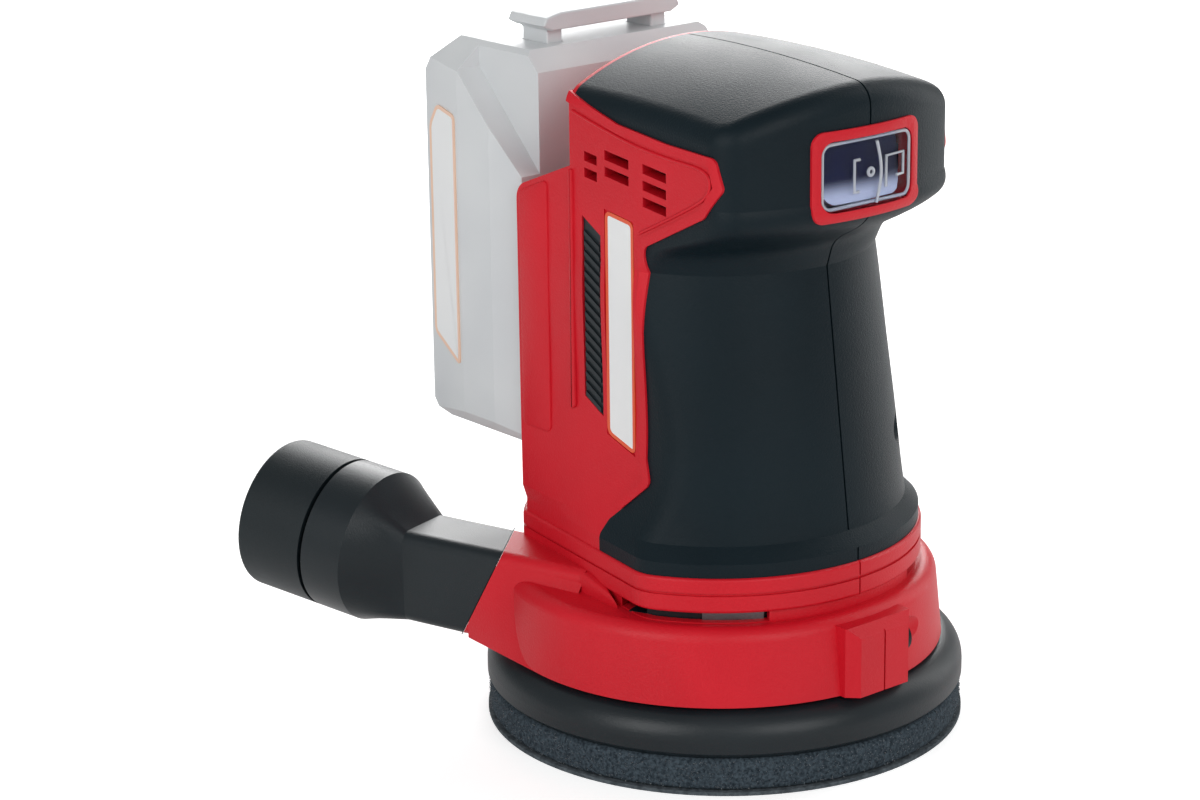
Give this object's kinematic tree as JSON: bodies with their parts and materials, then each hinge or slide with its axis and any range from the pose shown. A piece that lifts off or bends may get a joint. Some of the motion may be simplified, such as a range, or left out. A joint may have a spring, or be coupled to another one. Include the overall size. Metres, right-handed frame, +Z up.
{
  "type": "cordless random orbital sander",
  "caption": "Cordless random orbital sander with a palm grip, round hook-and-loop pad on an eccentric drive, rocker switch, slide-on battery pack and plug-in dust hose adapter.",
  "frame": {"origin": "where the motor axis meets the sanding face", "axes": "+Z up along the motor axis, -Y towards the switch, +Y towards the battery, dust outlet on the -X side"},
  "size_m": [0.1495, 0.1724, 0.1811],
  "materials": {
    "red_plastic": "fine-textured moulding",
    "grip_rubber": "soft matt overmould",
    "clear_boot": "clear flexible dust cover",
    "black_plastic": "glass-filled nylon",
    "pale_plastic": "pale grey moulding",
    "black_rubber": "moulded rubber",
    "pad_plastic": "moulded backing",
    "pad_foam": "cast microcellular foam",
    "hook_sheet": "hook fastener sheet",
    "board_green": "printed board",
    "component_black": "moulded component",
    "lead_insulation": "insulated lead",
    "steel": "machined",
    "die_cast": "die cast",
    "magnet": "sintered ferrite",
    "copper": "copper",
    "brass_contact": "stamped",
    "cell_wrap": "shrink wrap"
  },
  "bodies": {
    "housing": {"housing_left": "red_plastic", "housing_right": "red_plastic", "grip_left": "grip_rubber", "grip_right": "grip_rubber", "side_insert_left": "black_plastic", "side_insert_right": "black_plastic", "switch_frame": "red_plastic", "switch_boot": "clear_boot", "switch_body": "black_plastic", "control_board": "board_green", "board_parts": "component_black", "terminal_block": "black_plastic", "terminal_blades": "brass_contact", "battery_leads": "lead_insulation", "motor_leads": "lead_insulation", "motor_can": "steel", "motor_magnets": "magnet", "motor_end_bell": "black_plastic", "brush_holders": "brass_contact", "carbon_brushes": "component_black", "brush_springs": "steel", "tail_bearing": "steel", "lower_bearing": "steel", "bearing_plate": "die_cast", "pad_brake": "black_rubber", "housing_screws": "steel"},
    "rotor": {"motor_shaft": "steel", "rotor_core": "steel", "rotor_windings": "copper", "commutator": "copper", "cooling_fan": "black_plastic", "eccentric_hub": "die_cast", "eccentric_bearing": "steel", "counterweight": "steel", "dust_impeller": "black_plastic"},
    "pad": {"pad_hook_sheet": "hook_sheet", "pad_foam": "pad_foam", "pad_backing": "pad_plastic", "pad_spindle": "steel", "spindle_clip": "steel", "pad_screws": "steel"},
    "rocker": {"switch_rocker": "black_plastic"},
    "battery": {"battery_case_front": "pale_plastic", "battery_case_rear": "pale_plastic", "battery_cells": "cell_wrap", "cell_holder": "black_plastic", "cell_straps": "steel", "battery_board": "board_green", "battery_clips": "brass_contact", "battery_screws": "steel"},
    "release_button": {"battery_button": "pale_plastic", "button_spring": "steel"},
    "hose_adapter": {"dust_adapter": "black_plastic", "hose_sleeve": "black_rubber"}
  },
  "joints": [
    {"name": "motor_spin", "type": "hinge", "parent": "housing", "child": "rotor", "pos_m": [0, 0, 0.05], "axis": [0, 0, 1], "continuous": true},
    {"name": "pad_spin", "type": "hinge", "parent": "rotor", "child": "pad", "pos_m": [0.0015, 0, 0.02], "axis": [0, 0, 1], "continuous": true},
    {"name": "switch_rock", "type": "hinge", "parent": "housing", "child": "rocker", "pos_m": [0, -0.045, 0.1532], "axis": [1, 0, 0], "range_deg": [0, 10]},
    {"name": "battery_slide", "type": "slide", "parent": "housing", "child": "battery", "axis": [0, 0, 1], "range_m": [0, 0.075]},
    {"name": "button_press", "type": "slide", "parent": "battery", "child": "release_button", "axis": [0, 0, -1], "range_m": [0, 0.003], "stiffness_N_per_m": 400, "springref_m": -0.001, "deforming": ["button_spring"]},
    {"name": "adapter_pull", "type": "slide", "parent": "housing", "child": "hose_adapter", "axis": [-0.2924, 0.9563, 0], "range_m": [0, 0.03]}
  ]
}
